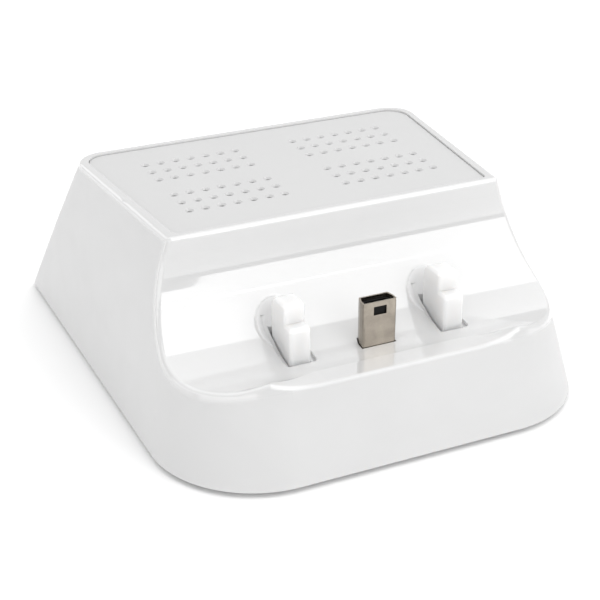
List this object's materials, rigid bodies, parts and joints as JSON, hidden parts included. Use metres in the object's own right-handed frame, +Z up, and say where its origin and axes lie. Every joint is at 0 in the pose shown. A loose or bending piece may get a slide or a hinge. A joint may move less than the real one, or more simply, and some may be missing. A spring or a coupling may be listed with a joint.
{
  "type": "camera handset dock",
  "caption": "White desktop dock with a rounded channel, an upright data plug between sprung guide posts and a vented top panel.",
  "frame": {"origin": "on the table, under the middle of the footprint", "axes": "+X to the user's right, -Y to the front where the handset stands, +Z up"},
  "size_m": [0.0868, 0.1, 0.0378],
  "materials": {
    "shell_white": "high gloss moulded ABS, pure white",
    "panel_white": "satin moulded ABS, white, a touch warmer than the shell",
    "base_white": "fine texture moulded ABS, white",
    "lever_white": "gloss moulded plastic, white",
    "foot_rubber": "soft matte rubber, dark grey",
    "screw_steel": "zinc plated",
    "pin_steel": "ground",
    "spring_steel": "drawn wire",
    "plug_nickel": "warm nickel plate, rolled sheet",
    "socket_nickel": "nickel plate",
    "black_plastic": "moulded, matte black",
    "contact_gold": "gold plated",
    "board_green": "solder mask, green",
    "chip_black": "moulded epoxy, black",
    "can_aluminium": "plain can"
  },
  "bodies": {
    "dock": {"upper_housing": "shell_white", "top_vent_panel": "panel_white", "base_plate": "base_white", "foot_front_left": "foot_rubber", "foot_front_right": "foot_rubber", "foot_back_left": "foot_rubber", "foot_back_right": "foot_rubber", "base_screws": "screw_steel", "board_screws": "screw_steel", "pivot_pin_left": "pin_steel", "pivot_pin_right": "pin_steel", "return_spring_left": "spring_steel", "return_spring_right": "spring_steel", "plug_shell": "plug_nickel", "plug_insulator": "black_plastic", "plug_contacts": "contact_gold", "plug_carrier": "black_plastic", "main_board": "board_green", "main_chip": "chip_black", "capacitors": "can_aluminium", "usb_socket_shell": "socket_nickel", "usb_socket_insulator": "black_plastic", "power_jack_body": "black_plastic", "power_jack_pin": "pin_steel"},
    "left_guide": {"guide_lever_left": "lever_white"},
    "right_guide": {"guide_lever_right": "lever_white"}
  },
  "joints": [
    {"name": "left_guide_tilt", "type": "hinge", "parent": "dock", "child": "left_guide", "pos_m": [-0.0157, -0.033, 0.0095], "axis": [-1, 0, 0], "range_deg": [0, 4.5], "stiffness_Nm_per_rad": 0.014, "springref_deg": -5.73, "deforming": ["return_spring_left"]},
    {"name": "right_guide_tilt", "type": "hinge", "parent": "dock", "child": "right_guide", "pos_m": [0.0157, -0.033, 0.0095], "axis": [-1, 0, 0], "range_deg": [0, 4.5], "stiffness_Nm_per_rad": 0.014, "springref_deg": -5.73, "deforming": ["return_spring_right"]}
  ]
}
